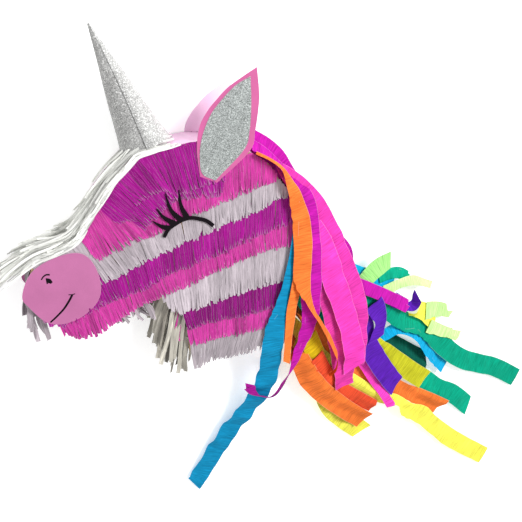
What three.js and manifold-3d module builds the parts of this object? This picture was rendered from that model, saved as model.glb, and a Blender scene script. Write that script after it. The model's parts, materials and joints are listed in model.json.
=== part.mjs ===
// A unicorn-head pinata: a flat cardboard box head covered in rows of fringed crepe paper, with a
// rolled glitter-paper horn, card ears and muzzle, a tissue forelock and a mane of crepe streamers.
// It lies on its far cheek, with the streamers spread over the surface beside it.
// Units are millimetres. X runs from the muzzle towards the mane, Y from the neck towards the
// crown, and Z up through the thickness of the head. The origin is on the surface that the pinata
// lies on, under the middle of the cheek.
import * as THREE from 'three';
import { mergeVertices } from 'three/addons/utils/BufferGeometryUtils.js';
import Module from 'manifold-3d';

const wasm = await Module();
wasm.setup();

// Driving dimensions
const GAP = 0.3; // between pieces that touch
const BOARD = 4; // thickness of a side panel
const WALL = 3; // thickness of the strips between the side panels
const WALL_WIDTH = 65; // width of those strips
const FRINGE = 2.4; // thickness of a row of fringe lying on a side panel
const CARD = 1; // muzzle discs
const EAR_CARD = 0.7;
const GLITTER_CARD = 0.4;
const LASH_CARD = 0.6;
const COVER_PAPER = 0.6; // paper over the crown, and the tape on the flap
const STREAMER_WIDTH = 44; // party streamers are sold 44 mm wide
const STREAMER_THICKNESS = 1;
const STREAMER_CLEARANCE = 1; // height between a streamer and what it lies on
const PANEL_BOTTOM = FRINGE + GAP;
const WALL_BOTTOM = PANEL_BOTTOM + BOARD + GAP;
const WALL_TOP = WALL_BOTTOM + WALL_WIDTH;
const THICKNESS = WALL_TOP + WALL_BOTTOM; // the whole head, lying flat
const WINDOW = { left: -46, right: 50, bottom: 16, top: 63 }; // filling window in the neck's base
const FLAP_CLEARANCE = 0.5;
const WINDOW_CUT = 10; // how far the cut for the window runs past the base on either side
const FLAP_TAPE = { width: 20, height: 24 };
const HANGING_HOLES = { x: [-28, -4], y: 180, radius: 4, depth: 40, segments: 16, z: THICKNESS / 2 };
const HANGER_CARD = { thickness: 2, height: 50, end: 0.06 }; // end is a share of its stretch of crown
const HORN = {
  x: -104.2, y: 181.4, tilt: 110.8, length: 171, radius: 35.5, wall: 1.2, solidTip: 8, segments: 40,
};
const FAR_AWAY = 400; // beyond the head, for cuts that pass right across it
const CUT_DEPTH = 20; // how far such cuts reach past the head's thickness
const SMOOTH_STEPS = { disc: 40, eyelid: 12 };
const FORELOCK_HEIGHTS = [30, 48];
const WALL_FRINGE_HEIGHTS = [14, 64];

// The head's outline, counter-clockwise, one stretch for each strip of the wall
const OUTLINE = {
  base: [[-64, -150], [107, -150]],
  nape: [[107, -150], [117, -91], [121, -18], [119, 34], [109, 85], [97, 111], [75, 144], [43, 166]],
  crown: [[43, 166], [5, 183], [-37, 187], [-86, 181], [-119, 174]],
  brow: [[-119, 174], [-133, 165], [-160, 138], [-197, 89], [-217, 63], [-241, 50], [-278, 36]],
  muzzle: [[-278, 36], [-290, 5], [-285, -30], [-262, -60]],
  jaw: [[-262, -60], [-226, -58], [-181, -44], [-121, -42], [-102, -50], [-78, -58]],
  throat: [[-78, -58], [-64, -76], [-64, -150]],
};
const HEAD = Object.values(OUTLINE).flatMap((points) => points.slice(0, -1));

// The fringe covers the side panel and hangs past its lower edges
const FRINGED = [
  [-66, -178], [60, -172], [108, -170], [108, -150], [116, -91], [120, -18], [118, 34], [108, 85],
  [96, 110], [74, 143], [42, 165], [5, 182], [-37, 186], [-86, 180], [-118, 173], [-132, 164],
  [-159, 137], [-196, 88], [-216, 62], [-240, 49], [-277, 35], [-289, 5], [-284, -30], [-275, -62],
  [-255, -72], [-222, -86], [-180, -69], [-150, -61], [-103, -47], [-82, -84], [-66, -100],
];

// Rows of fringe from the crown down to the neck's base. Each edge is where a row's strands end.
const ROW_NAMES = [
  'crown_magenta', 'brow_pink', 'cheek_silver', 'jaw_magenta', 'jaw_pink',
  'neck_silver', 'neck_magenta', 'neck_pink', 'base_silver',
];
const ROW_EDGES = [
  [[-190, 104], [-119, 68], [-85, 97], [-5, 104], [40, 140], [90, 150]],
  [[-235, 66], [-191, 30], [-118, 53], [-20, 87], [64, 114], [130, 132]],
  [[-300, -5], [-190, -9], [-54, 39], [97, 92], [130, 102]],
  [[-300, -75], [-255, -69], [-195, -42], [-124, -27], [-18, 9], [83, 41], [130, 48]],
  [[-130, -100], [-101, -46], [-64, -35], [-9, -14], [60, 5], [130, 13]],
  [[-110, -92], [-78, -84], [-20, -71], [60, -57], [130, -50]],
  [[-75, -111], [-21, -104], [77, -99], [130, -94]],
  [[-75, -140], [35, -136], [130, -131]],
];

const DISC = [
  [-298, -8], [-292, -27], [-268, -58], [-234, -60], [-202, -40], [-191, -13], [-197, 24], [-215, 44],
  [-248, 42], [-281, 25],
];
const EAR = [
  [-38, 169], [-35, 137], [-10, 125], [42, 168], [51, 197], [57, 236], [57, 257], [54, 286],
  [31, 273], [9, 259], [-8, 243], [-20, 230], [-32, 211], [-37, 189],
];
const EAR_INSERT = [
  [-32, 161], [-30, 140], [-12, 129], [33, 171], [42, 198], [45, 236], [44, 274], [22, 260],
  [1, 239], [-15, 220], [-27, 190],
];
const EYELID = [[-96, 56], [-81, 70], [-61, 76], [-45, 77], [-30, 72], [-17, 61]];
const LASHES = [
  [[-84, 70], [-105, 78]], [[-76, 73], [-101, 96]], [[-68, 76], [-88, 112]], [[-57, 77], [-69, 118]],
];
const EYELID_WIDTH = 4.5;
const LASH_WIDTHS = [5, 1.5];

const MATERIALS = {
  board: [0xb98f5e, 0.9], magenta: [0xb0159a, 0.75], pink: [0xe640ae, 0.75],
  silver: [0xc2bcc6, 0.7], disc: [0xd67bb4, 0.6], ear: [0xee74b4, 0.6], glitter: [0xb4b8b6, 0.4],
  black: [0x141214, 0.9], horn: [0xb9bab8, 0.4], tissue: [0xf2f0ec, 0.85], tape: [0xd8c79c, 0.5],
  blue: [0x1a98d6, 0.75], orange: [0xff7a2a, 0.75], yellow: [0xfff52a, 0.75],
  green: [0x02a67f, 0.75], cyan: [0x08a6dc, 0.75], violet: [0x4a0f9c, 0.75],
  olive: [0xc2b81c, 0.75], fuchsia: [0xc41fae, 0.75],
};

const pinata = new THREE.Group();

function addPiece(name, geometry, look) {
  const [color, roughness] = MATERIALS[look];
  const metalness = look === 'glitter' || look === 'horn' ? 0.3 : 0;
  const material = new THREE.MeshStandardMaterial({ color, roughness, metalness });
  const mesh = new THREE.Mesh(geometry, material);
  mesh.name = name;
  pinata.add(mesh);
}

// A flat outline given a thickness from one height to another
function prism(points, low, high) {
  const shape = new THREE.Shape(points.map(([x, y]) => new THREE.Vector2(x, y)));
  const geometry = new THREE.ExtrudeGeometry(shape, { depth: high - low, bevelEnabled: false });
  return geometry.translate(0, 0, low);
}

function toSolid(geometry) {
  const bare = geometry.clone();
  bare.deleteAttribute('normal');
  bare.deleteAttribute('uv');
  const merged = mergeVertices(bare, 1e-4);
  const vertProperties = new Float32Array(merged.attributes.position.array);
  const triVerts = new Uint32Array(merged.index.array);
  return new wasm.Manifold(new wasm.Mesh({ numProp: 3, vertProperties, triVerts }));
}

function toGeometry(solid) {
  const mesh = solid.getMesh();
  const geometry = new THREE.BufferGeometry();
  geometry.setAttribute('position', new THREE.BufferAttribute(mesh.vertProperties, 3));
  geometry.setIndex(new THREE.BufferAttribute(mesh.triVerts, 1));
  geometry.computeVertexNormals();
  return geometry;
}

// A counter-clockwise loop moved inwards by a depth, with mitred corners
function insetLoop(loop, depth) {
  return loop.map(([x, y], i) => {
    const [px, py] = loop.at(i - 1);
    const [nx, ny] = loop[(i + 1) % loop.length];
    const before = new THREE.Vector2(x - px, y - py).normalize();
    const after = new THREE.Vector2(nx - x, ny - y).normalize();
    const mitre = new THREE.Vector2(-before.y - after.y, before.x + after.x);
    mitre.multiplyScalar(depth / (1 + before.dot(after)));
    return [x + mitre.x, y + mitre.y];
  });
}

// The outline of a flat stroke along a line of points, whose width runs from one value to another
function strokeOutline(points, startWidth, endWidth, extra = 0) {
  const left = [];
  const right = [];
  points.forEach(([x, y], i) => {
    const [ax, ay] = points[Math.max(i - 1, 0)];
    const [bx, by] = points[Math.min(i + 1, points.length - 1)];
    const along = new THREE.Vector2(bx - ax, by - ay).normalize();
    const share = i / (points.length - 1);
    const half = (startWidth + (endWidth - startWidth) * share) / 2 + extra;
    const ends = (i === 0 ? -extra : 0) + (i === points.length - 1 ? extra : 0);
    const centre = [x + along.x * ends, y + along.y * ends];
    left.push([centre[0] - along.y * half, centre[1] + along.x * half]);
    right.push([centre[0] + along.y * half, centre[1] - along.x * half]);
  });
  return [...left, ...right.reverse()];
}

function smoothLoop(points, steps) {
  const curve = new THREE.CatmullRomCurve3(points.map(([x, y]) => new THREE.Vector3(x, y, 0)), true);
  return curve.getPoints(steps).slice(0, -1).map((point) => [point.x, point.y]);
}

function smoothLine(points, steps) {
  const curve = new THREE.CatmullRomCurve3(points.map(([x, y]) => new THREE.Vector3(x, y, 0)));
  return curve.getSpacedPoints(steps).map((point) => [point.x, point.y]);
}

// Depths counted from the outer face of one side, turned into heights on the far or near side
function heights(side, outer, inner) {
  return side === 'far' ? [outer, inner] : [THICKNESS - inner, THICKNESS - outer];
}

function eyelashSolid(side, outer, inner, extra = 0) {
  const [low, high] = heights(side, outer, inner);
  const middle = smoothLine(EYELID, SMOOTH_STEPS.eyelid);
  const lid = strokeOutline(middle, EYELID_WIDTH, EYELID_WIDTH, extra);
  let solid = toSolid(prism(lid, low, high));
  for (const lash of LASHES) {
    solid = solid.add(toSolid(prism(strokeOutline(lash, ...LASH_WIDTHS, extra), low, high)));
  }
  return solid;
}

function addSidePanels() {
  for (const side of ['far', 'near']) {
    const [low, high] = heights(side, PANEL_BOTTOM, PANEL_BOTTOM + BOARD);
    addPiece(`${side}_side_panel`, prism(HEAD, low, high), 'board');
  }
}

// One strip of the wall between the side panels, mitred to its neighbours
function wallStrip(first, count) {
  const inner = insetLoop(HEAD, WALL);
  const indices = Array.from({ length: count }, (_, i) => (first + i) % HEAD.length);
  const shorten = (line) => {
    const points = indices.map((i) => [...line[i]]);
    for (const [end, next] of [[0, 1], [count - 1, count - 2]]) {
      const [ax, ay] = points[end];
      const [bx, by] = points[next];
      const distance = Math.hypot(bx - ax, by - ay);
      points[end] = [ax + ((bx - ax) * GAP) / distance, ay + ((by - ay) * GAP) / distance];
    }
    return points;
  };
  return prism([...shorten(HEAD), ...shorten(inner).reverse()], WALL_BOTTOM, WALL_TOP);
}

function hangingHole(x) {
  const { y, z, radius, depth, segments } = HANGING_HOLES;
  const hole = new THREE.CylinderGeometry(radius, radius, depth, segments);
  return toSolid(hole.translate(x, y, z));
}

function withHangingHoles(solid) {
  return HANGING_HOLES.x.reduce((rest, x) => rest.subtract(hangingHole(x)), solid);
}

function addWalls() {
  let first = 0;
  for (const [name, points] of Object.entries(OUTLINE)) {
    let solid = toSolid(wallStrip(first, points.length));
    if (name === 'base') {
      const { left, right, bottom, top } = WINDOW;
      const outside = points[0][1] - WINDOW_CUT;
      const within = points[0][1] + WINDOW_CUT;
      const opening = [[left, outside], [right, outside], [right, within], [left, within]];
      solid = solid.subtract(toSolid(prism(opening, bottom, top)));
    }
    if (name === 'crown') solid = withHangingHoles(solid);
    addPiece(`${name}_wall`, toGeometry(solid), 'board');
    first += points.length - 1;
  }
}

// The flap swings outwards about the front edge of the window; its tape holds the other edge
function addFlap() {
  const base = OUTLINE.base[0][1];
  const left = WINDOW.left + FLAP_CLEARANCE;
  const right = WINDOW.right - FLAP_CLEARANCE;
  const flap = [[left, base], [right, base], [right, base + WALL], [left, base + WALL]];
  addPiece('fill_flap', prism(flap, WINDOW.bottom + FLAP_CLEARANCE, WINDOW.top - FLAP_CLEARANCE), 'board');
  const low = base - GAP - COVER_PAPER;
  const high = base - GAP;
  const half = FLAP_TAPE.width / 2;
  const tape = [[right - half, low], [right + half, low], [right + half, high], [right - half, high]];
  const reach = FLAP_TAPE.height / 2;
  addPiece('flap_tape', prism(tape, THICKNESS / 2 - reach, THICKNESS / 2 + reach), 'tape');
}

// A card glued inside the crown, where a hanging cord would pull
function addHangerCard() {
  const { thickness, height, end } = HANGER_CARD;
  const inner = insetLoop(HEAD, WALL + GAP);
  const deep = insetLoop(HEAD, WALL + GAP + thickness);
  const start = HEAD.indexOf(OUTLINE.crown[1]);
  const between = (line, share) => {
    const [ax, ay] = line[start];
    const [bx, by] = line[start + 1];
    return [ax + (bx - ax) * share, ay + (by - ay) * share];
  };
  const card = [
    between(inner, end), between(inner, 1 - end), between(deep, 1 - end), between(deep, end),
  ];
  const solid = toSolid(prism(card, (THICKNESS - height) / 2, (THICKNESS + height) / 2));
  addPiece('hanger_card', toGeometry(withHangingHoles(solid)), 'board');
}

// The region below a row's edge, moved up a little where the next row needs its gap
function regionBelow(edge, rise = 0) {
  const line = edge.map(([x, y]) => [x, y + rise]);
  const points = [
    [-FAR_AWAY, line[0][1]], ...line, [FAR_AWAY, line.at(-1)[1]],
    [FAR_AWAY, -FAR_AWAY], [-FAR_AWAY, -FAR_AWAY],
  ];
  return toSolid(prism(points, -CUT_DEPTH, THICKNESS + CUT_DEPTH));
}

// Strands are pressed thinner under the muzzle disc, the ear and the eyelash
function pressedPlaces(side) {
  const under = (points, depth) => {
    const [low, high] = heights(side, -CUT_DEPTH, depth);
    return toSolid(prism(insetLoop(points, -GAP), low, high));
  };
  return [
    under(smoothLoop(DISC, SMOOTH_STEPS.disc), CARD + GAP),
    under(EAR, GLITTER_CARD + EAR_CARD + 2 * GAP),
    eyelashSolid(side, -CUT_DEPTH, LASH_CARD + GAP, GAP),
  ];
}

function addFringeRows() {
  const looks = ['magenta', 'pink', 'silver'];
  for (const side of ['far', 'near']) {
    const places = pressedPlaces(side);
    const whole = toSolid(prism(FRINGED, ...heights(side, 0, FRINGE)));
    ROW_NAMES.forEach((name, i) => {
      let row = i === 0 ? whole : whole.intersect(regionBelow(ROW_EDGES[i - 1]));
      if (i < ROW_EDGES.length) row = row.subtract(regionBelow(ROW_EDGES[i], GAP));
      for (const place of places) row = row.subtract(place);
      addPiece(`${side}_fringe_${name}`, toGeometry(row), looks[i % looks.length]);
    });
  }
}

function addCardTrim() {
  for (const side of ['far', 'near']) {
    const disc = smoothLoop(DISC, SMOOTH_STEPS.disc);
    addPiece(`${side}_muzzle_disc`, prism(disc, ...heights(side, 0, CARD)), 'disc');
    addPiece(`${side}_ear_insert`, prism(EAR_INSERT, ...heights(side, 0, GLITTER_CARD)), 'glitter');
    const earTop = GLITTER_CARD + GAP;
    addPiece(`${side}_ear`, prism(EAR, ...heights(side, earTop, earTop + EAR_CARD)), 'ear');
    addPiece(`${side}_eyelash`, toGeometry(eyelashSolid(side, 0, LASH_CARD)), 'black');
  }
}

// A hollow paper cone, open where it meets the crown
function addHorn() {
  const { radius, length, wall, solidTip, segments } = HORN;
  const profile = [[0, length - solidTip], [radius - wall, 0], [radius, 0], [0, length]];
  const cone = new THREE.LatheGeometry(profile.map(([r, h]) => new THREE.Vector2(r, h)), segments);
  cone.rotateZ(THREE.MathUtils.degToRad(HORN.tilt - 90));
  addPiece('horn', cone.translate(HORN.x, HORN.y, THICKNESS / 2), 'horn');
}

// Fringe and tissue that stand off the walls, each one a simple solid between the side panels
function addWallFringes() {
  const forelock = [
    [-144, 157], [-162, 140], [-200, 90], [-220, 64], [-243, 51], [-280, 38], [-297, 8], [-321, -4],
    [-323, 30], [-314, 76], [-272, 95], [-228, 127], [-176, 165], [-152, 178],
  ];
  addPiece('forelock', prism(forelock, ...FORELOCK_HEIGHTS), 'tissue');
  const muzzle = [
    [-292, 2], [-286, -31], [-264, -61], [-265, -95], [-273, -111], [-289, -105], [-300, -60],
    [-304, -30], [-300, 0],
  ];
  addPiece('muzzle_fringe', prism(muzzle, ...WALL_FRINGE_HEIGHTS), 'silver');
  const jaw = [
    [-262, -62], [-226, -60], [-181, -46], [-121, -44], [-105, -51], [-108, -80], [-117, -89],
    [-150, -80], [-222, -92], [-262, -90],
  ];
  addPiece('jaw_fringe', prism(jaw, ...WALL_FRINGE_HEIGHTS), 'silver');
  const throat = [
    [-65, -84], [-72, -72], [-92, -80], [-120, -129], [-109, -160], [-99, -190], [-73, -192], [-65, -160],
  ];
  addPiece('throat_fringe', prism(throat, ...WALL_FRINGE_HEIGHTS), 'silver');
}

// Paper over the crown, from the top of the nape towards the horn, with the same holes as the wall
function addCrownCover() {
  const first = HEAD.indexOf(OUTLINE.crown[0]) - 1;
  const last = HEAD.indexOf(OUTLINE.crown[2]);
  const outer = insetLoop(HEAD, -GAP - COVER_PAPER).slice(first, last + 1);
  const inner = insetLoop(HEAD, -GAP).slice(first, last + 1);
  const solid = toSolid(prism([...outer, ...inner.reverse()], WALL_BOTTOM, WALL_TOP));
  addPiece('crown_cover', toGeometry(withHangingHoles(solid)), 'pink');
}

// How high things already lie on the surface, in square cells
const CELL = 5;
const laid = new Map();
const cellKey = (x, y) => `${Math.round(x / CELL)},${Math.round(y / CELL)}`;

// Calls visit for points spread over the strip's width and a little before and after a station
const VISIT = { spacing: 3, past: 2, ahead: 9 };
function overWidth(station, visit) {
  const edge = STREAMER_WIDTH / 2 + VISIT.past;
  for (let side = -edge; side <= edge; side += VISIT.spacing) {
    for (let ahead = -VISIT.ahead; ahead <= VISIT.ahead; ahead += VISIT.spacing) {
      visit(
        station.x + station.along.x * ahead - station.along.y * side,
        station.y + station.along.y * ahead + station.along.x * side,
      );
    }
  }
}

function isInside(loop, x, y) {
  let inside = false;
  loop.forEach(([ax, ay], i) => {
    const [bx, by] = loop.at(i - 1);
    if (ay > y !== by > y && x < ((bx - ax) * (y - ay)) / (by - ay) + ax) inside = !inside;
  });
  return inside;
}

const isOverHead = (x, y) => isInside(HEAD, x, y) || isInside(FRINGED, x, y);

// A point at a share of the nape's length, and the direction straight out from it
function napePoint(share) {
  const points = OUTLINE.nape.map(([x, y]) => new THREE.Vector3(x, y, 0));
  const curve = new THREE.CatmullRomCurve3(points);
  const along = curve.getTangentAt(share);
  return { point: curve.getPointAt(share), out: new THREE.Vector3(along.y, -along.x, 0) };
}

// A streamer glued to the nape wall, or over the near panel's edge, that falls and then lies flat
const STATION_SPACING = 18;
const ROOT_DISTANCES = [3, 34]; // straight out from the nape wall
const FALL = 90; // a streamer is down by this distance and twice its starting height
function addStreamer({ name, look, root, start, route, overPanel = false }) {
  const plan = route.map(([x, y]) => new THREE.Vector3(x, y, 0));
  if (root !== undefined) {
    const { point, out } = napePoint(root);
    plan.unshift(...ROOT_DISTANCES.map((distance) => point.clone().addScaledVector(out, distance)));
  }
  const curve = new THREE.CatmullRomCurve3(plan);
  const steps = Math.ceil(curve.getLength() / STATION_SPACING);
  const fall = FALL + 2 * start;
  const stations = curve.getSpacedPoints(steps).map((point, i) => {
    const along = curve.getTangentAt(i / steps);
    const distance = (i * curve.getLength()) / steps;
    const free = start * Math.max(0, 1 - distance / fall) ** 2;
    return { x: point.x, y: point.y, along, free };
  });
  for (const station of stations) {
    station.support = 0;
    overWidth(station, (x, y) => {
      const onHead = overPanel && isOverHead(x, y) ? THICKNESS + STREAMER_CLEARANCE : 0;
      const below = laid.get(cellKey(x, y)) ?? 0;
      station.support = Math.max(station.support, onHead, below);
    });
  }
  const near = (i, reach) => stations.slice(Math.max(0, i - reach), i + reach + 1);
  stations.forEach((station, i) => {
    station.raised = Math.max(...near(i, 2).map((other) => Math.max(other.support, other.free)));
  });
  stations.forEach((station, i) => {
    const group = near(i, 1);
    station.z = group.reduce((sum, other) => sum + other.raised, 0) / group.length;
  });
  const top = STREAMER_THICKNESS + STREAMER_CLEARANCE;
  for (const station of stations) {
    overWidth(station, (x, y) => {
      const key = cellKey(x, y);
      laid.set(key, Math.max(laid.get(key) ?? 0, station.z + top));
    });
  }
  addPiece(`streamer_${name}`, streamerGeometry(stations), look);
}

// A flat strip through its stations, four corners to each
function streamerGeometry(stations) {
  const positions = [];
  for (const { x, y, z, along } of stations) {
    const half = STREAMER_WIDTH / 2;
    for (const [side, lift] of [[half, 0], [-half, 0], [-half, 1], [half, 1]]) {
      positions.push(x - along.y * side, y + along.x * side, z + lift * STREAMER_THICKNESS);
    }
  }
  const faces = [0, 1, 2, 0, 2, 3];
  for (let i = 0; i < stations.length - 1; i++) {
    for (let corner = 0; corner < 4; corner++) {
      const a = 4 * i + corner;
      const b = 4 * i + ((corner + 1) % 4);
      // The two broad faces are split along the same diagonal, so that they never cross
      if (corner === 2) faces.push(b, a, b + 4, a, a + 4, b + 4);
      else faces.push(b, a, a + 4, b, a + 4, b + 4);
    }
  }
  const last = 4 * (stations.length - 1);
  faces.push(last, last + 2, last + 1, last, last + 3, last + 2);
  const geometry = new THREE.BufferGeometry();
  geometry.setAttribute('position', new THREE.Float32BufferAttribute(positions, 3));
  geometry.setIndex(faces);
  geometry.computeVertexNormals();
  return geometry;
}

// Streamers in the order that they are laid. root is a share of the nape from its foot upwards.
const STREAMERS = [
  { name: 'cyan', look: 'cyan', root: 0.62, start: 8, route: [[230, -40], [309, -92], [375, -105]] },
  { name: 'green_short', look: 'green', root: 0.28, start: 10,
    route: [[250, -220], [380, -320], [454, -363], [526, -407], [600, -473]] },
  { name: 'orange_right', look: 'orange', root: 0.24, start: 14,
    route: [[220, -230], [320, -330], [388, -368], [455, -404], [520, -447]] },
  { name: 'yellow_long', look: 'yellow', root: 0.18, start: 18,
    route: [[210, -270], [310, -372], [373, -404], [450, -450], [550, -542], [692, -660]] },
  { name: 'turquoise', look: 'cyan', root: 0.42, start: 22,
    route: [[240, -150], [353, -222], [410, -240], [455, -285], [508, -337]] },
  { name: 'green_long', look: 'green', root: 0.52, start: 26,
    route: [[225, -90], [321, -166], [383, -207], [446, -240], [510, -300], [620, -370], [745, -445]] },
  { name: 'olive', look: 'olive', root: 0.36, start: 30, route: [[220, -170], [329, -252], [441, -350]] },
  { name: 'violet', look: 'violet', root: 0.48, start: 34,
    route: [[220, -90], [299, -185], [328, -258], [384, -342]] },
  { name: 'magenta_back', look: 'fuchsia', root: 0.7, start: 38,
    route: [[210, 0], [281, -87], [376, -167]] },
  { name: 'yellow_low', look: 'yellow', root: 0.12, start: 42,
    route: [[180, -230], [239, -374], [322, -470]] },
  { name: 'orange_low', look: 'orange', root: 0.08, start: 46,
    route: [[150, -230], [198, -344], [270, -400], [320, -440]] },
  { name: 'pink_back', look: 'pink', root: 0.86, start: 52,
    route: [[195, 70], [250, -20], [268, -98], [262, -200], [243, -305]] },
  { name: 'pink_front', look: 'pink', root: 0.78, start: 58,
    route: [[180, 50], [220, -20], [240, -120], [240, -254]] },
  { name: 'blue', look: 'blue', start: 0, overPanel: true,
    route: [[118, 0], [117, -75], [98, -175], [81, -251], [50, -320], [-14, -392], [-44, -464]] },
  { name: 'magenta_front', look: 'fuchsia', start: 60, root: 0.72,
    route: [[172, 0], [170, -110], [155, -210], [110, -275], [55, -290]] },
  { name: 'orange_front', look: 'orange', start: 0, overPanel: true,
    route: [[66, 152], [105, 106], [134, 40], [140, -20], [140, -90], [165, -150], [209, -204],
      [240, -255], [270, -330], [322, -385]] },
];

addSidePanels();
addWalls();
addFlap();
addHangerCard();
addFringeRows();
addCardTrim();
addHorn();
addWallFringes();
addCrownCover();
STREAMERS.forEach(addStreamer);

export default pinata;
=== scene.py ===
"""A unicorn-head pinata lying on one cheek, with its crepe-paper mane spread beside it.

Shapes are worked out in millimetres, in the CAD's frame, and turned into metres as meshes are made.
"""
import json
import math

import bpy
import numpy as np
from mathutils import Matrix, Vector


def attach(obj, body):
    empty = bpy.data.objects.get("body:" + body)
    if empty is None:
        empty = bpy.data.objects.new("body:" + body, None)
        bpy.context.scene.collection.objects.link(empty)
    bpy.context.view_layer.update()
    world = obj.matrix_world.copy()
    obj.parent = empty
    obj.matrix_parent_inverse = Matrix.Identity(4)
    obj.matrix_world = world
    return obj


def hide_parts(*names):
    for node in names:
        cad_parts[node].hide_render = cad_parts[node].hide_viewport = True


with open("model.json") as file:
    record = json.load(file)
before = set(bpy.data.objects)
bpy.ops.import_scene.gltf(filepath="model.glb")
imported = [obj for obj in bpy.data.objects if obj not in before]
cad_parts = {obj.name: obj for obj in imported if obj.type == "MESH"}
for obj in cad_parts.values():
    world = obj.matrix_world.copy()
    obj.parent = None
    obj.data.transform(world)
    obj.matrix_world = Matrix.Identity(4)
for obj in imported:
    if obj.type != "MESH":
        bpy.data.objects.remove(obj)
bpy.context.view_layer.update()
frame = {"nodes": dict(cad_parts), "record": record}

MM = 0.001
THICKNESS = 79.0  # the whole head, lying flat
PANEL_FACE = 76.3  # outer face of the near side panel
TIP_HIGHLIGHT = 0.9  # how strongly a sheet's tip gets the painted edge highlight, from 0 to 1
PINATA = "pinata"  # the body that every piece here rides on
LOOKS = {}  # materials by name

# The camera looks down at the cheek from the muzzle's side
CAMERA_PLACE = (-255.7, 351.7, 880.0)
CAMERA_FORWARD = (0.33776, -0.38742, -0.85780)
CAMERA_LENS = 40.2
SENSOR_WIDTH = 36.0
CAMERA_REACH = (0.05, 50.0)


def put(name, data):
    """An object made of some data, linked to the scene."""
    made = bpy.data.objects.new(name, data)
    bpy.context.scene.collection.objects.link(made)
    return made


def make_camera():
    data = bpy.data.cameras.new("camera")
    data.lens = CAMERA_LENS
    data.sensor_width = SENSOR_WIDTH
    data.clip_start, data.clip_end = CAMERA_REACH
    camera = put("camera", data)
    forward = Vector(CAMERA_FORWARD).normalized()
    right = forward.cross(Vector((0, 1, 0))).normalized()
    up = right.cross(forward)
    turn = Matrix((right, up, -forward)).transposed().to_4x4()
    camera.matrix_world = Matrix.Translation(Vector(CAMERA_PLACE) * MM) @ turn
    bpy.context.scene.camera = camera


make_camera()


# ---- lines and outlines

def travelled(line):
    """How far along a line each of its points lies."""
    return np.r_[0, np.cumsum(np.linalg.norm(np.diff(line, axis=0), axis=1))]


def resample(line, count):
    """Points evenly spaced along a line, whose first three columns are places."""
    line = np.asarray(line, float)
    along = travelled(line[:, :3])
    where = np.linspace(0, along[-1], count)
    return np.column_stack([np.interp(where, along, column) for column in line.T])


def smooth_line(points, count, closed=False):
    """A smooth line through given points, with any further columns carried along."""
    points = np.asarray(points, float)
    if closed:
        padded = np.vstack([points[-1], points, points[:2]])
    else:
        padded = np.vstack([2 * points[0] - points[1], points, 2 * points[-1] - points[-2]])
    t = np.linspace(0, 1, 24, endpoint=False)[:, None]
    pieces = []
    for i in range(len(padded) - 3):
        a, b, c, d = padded[i:i + 4]
        bend = (-a + 3 * b - 3 * c + d) * t ** 3 + (2 * a - 5 * b + 4 * c - d) * t ** 2
        pieces.append(0.5 * (2 * b + (c - a) * t + bend))
    pieces.append(padded[-2:-1])
    line = np.vstack(pieces)
    if closed:
        return resample(line, count + 1)[:-1]
    return resample(line, count)


def length_of(line):
    return float(np.linalg.norm(np.diff(np.asarray(line, float)[:, :3], axis=0), axis=1).sum())


def inside(loop, x, y):
    """Which of the places x, y lie inside a closed loop."""
    loop = np.asarray(loop, float)
    found = np.zeros(np.shape(x), bool)
    for (ax, ay), (bx, by) in zip(loop, np.roll(loop, 1, axis=0)):
        crosses = (ay > y) != (by > y)
        with np.errstate(divide="ignore", invalid="ignore"):
            found ^= crosses & (x < (bx - ax) * (y - ay) / (by - ay) + ax)
    return found


def unit(vectors):
    """Vectors along the last axis, brought to length 1."""
    return vectors / np.maximum(np.linalg.norm(vectors, axis=-1, keepdims=True), 1e-9)


def grown(loop, distance):
    """A counter-clockwise loop moved outwards by a distance."""
    loop = np.asarray(loop, float)
    before = unit(loop - np.roll(loop, 1, axis=0))
    after = unit(np.roll(loop, -1, axis=0) - loop)
    mitre = np.column_stack([before[:, 1] + after[:, 1], -before[:, 0] - after[:, 0]])
    shared = np.maximum(1 + (before * after).sum(1), 0.4)
    return loop + mitre * (distance / shared)[:, None]


def blur(values, reach):
    """A running mean, with the ends repeated."""
    width = 2 * reach + 1
    padded = np.pad(values, [(reach, reach)] + [(0, 0)] * (values.ndim - 1), mode="edge")
    total = np.cumsum(padded, axis=0)
    total = np.concatenate([np.zeros((1,) + total.shape[1:]), total])
    return (total[width:] - total[:-width]) / width


# ---- outlines of the head

HEAD = [
    (-64, -150), (107, -150), (117, -91), (121, -18), (119, 34), (109, 85), (97, 111), (75, 144),
    (43, 166), (5, 183), (-37, 187), (-86, 181), (-119, 174), (-133, 165), (-160, 138), (-197, 89),
    (-217, 63), (-241, 50), (-278, 36), (-290, 5), (-285, -30), (-262, -60), (-226, -58),
    (-181, -44), (-121, -42), (-102, -50), (-78, -58), (-64, -76),
]
NAPE = [(107, -150), (117, -91), (121, -18), (119, 34), (109, 85), (97, 111), (75, 144), (43, 166)]
BROW = [(-119, 174), (-133, 165), (-160, 138), (-197, 89), (-217, 63), (-241, 50), (-278, 36)]
DISC = [
    (-298, -8), (-292, -27), (-268, -58), (-234, -60), (-202, -40), (-191, -13), (-197, 24),
    (-215, 44), (-248, 42), (-281, 25),
]
EAR = [
    (-38, 169), (-35, 137), (-10, 125), (42, 168), (51, 197), (57, 236), (57, 257), (54, 286),
    (31, 273), (9, 259), (-8, 243), (-20, 230), (-32, 211), (-37, 189),
]
EAR_INSERT = [
    (-34.5, 162), (-31, 140), (-12, 129), (33, 171), (42, 198), (45, 236), (44, 274), (21, 262),
    (-1, 242), (-18, 221), (-31, 190),
]
EYELID = [(-94, 52), (-87, 63), (-76, 70), (-65, 75), (-53, 77), (-40, 74), (-28, 69), (-18, 60)]
LASHES = [
    [(-84, 64), (-98, 70), (-109, 79)], [(-76, 70), (-93, 83), (-102, 97)],
    [(-66, 74), (-81, 92), (-88, 118)], [(-57, 76), (-66, 97), (-68, 121)],
]
EYELID_WIDTHS = (5.4, 6.0)  # of a stroke, at its first and last point
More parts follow.
